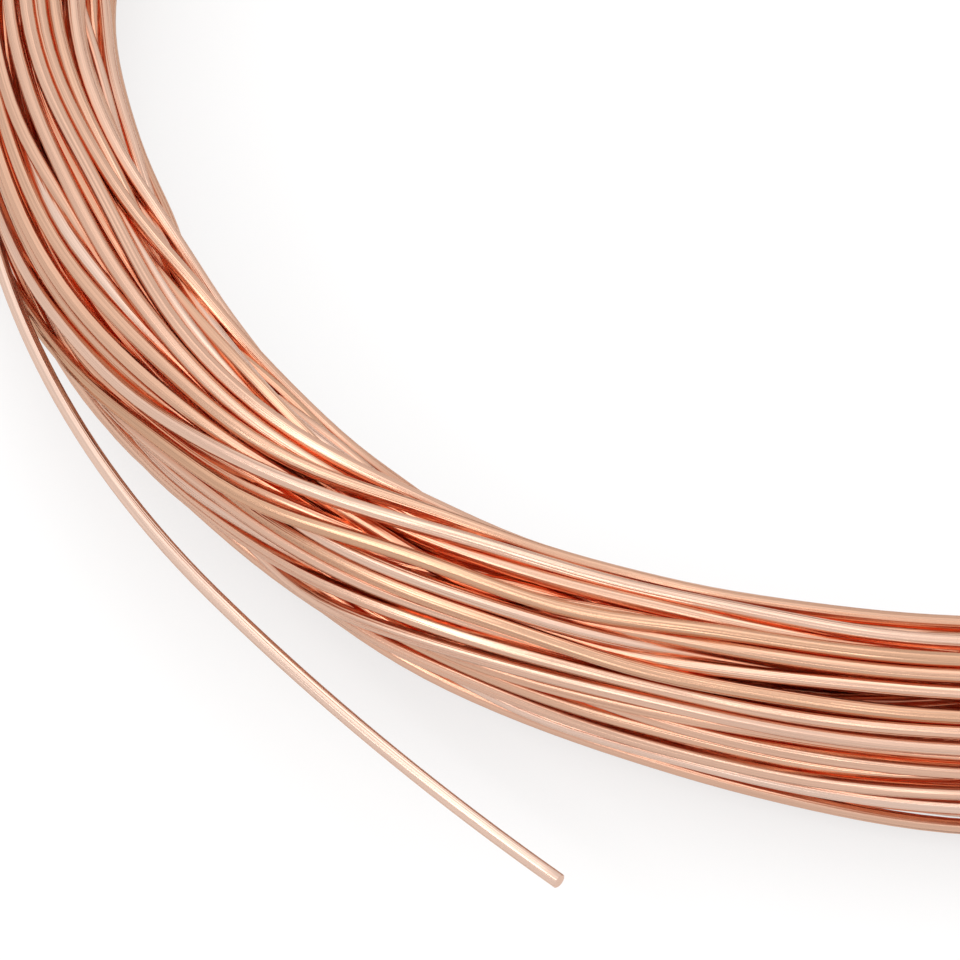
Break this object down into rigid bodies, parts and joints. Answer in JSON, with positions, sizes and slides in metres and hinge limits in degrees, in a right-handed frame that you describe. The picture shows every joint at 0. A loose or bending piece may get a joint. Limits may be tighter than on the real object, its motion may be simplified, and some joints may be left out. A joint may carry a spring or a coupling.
{
  "type": "coil of copper wire",
  "caption": "Flat-lying ring of bare solid copper wire, loosely wound, with its free end standing off the outside.",
  "frame": {"origin": "centre of the ring, on its axis and half-way up its height", "axes": "+Z is the ring's axis, upwards as the coil lies on a floor; the free end points towards -Y"},
  "size_m": [0.1378, 0.1455, 0.0156],
  "materials": {
    "bare_copper": "bright drawn copper"
  },
  "bodies": {
    "root": {"wire_coil": "bare_copper"}
  },
  "joints": []
}
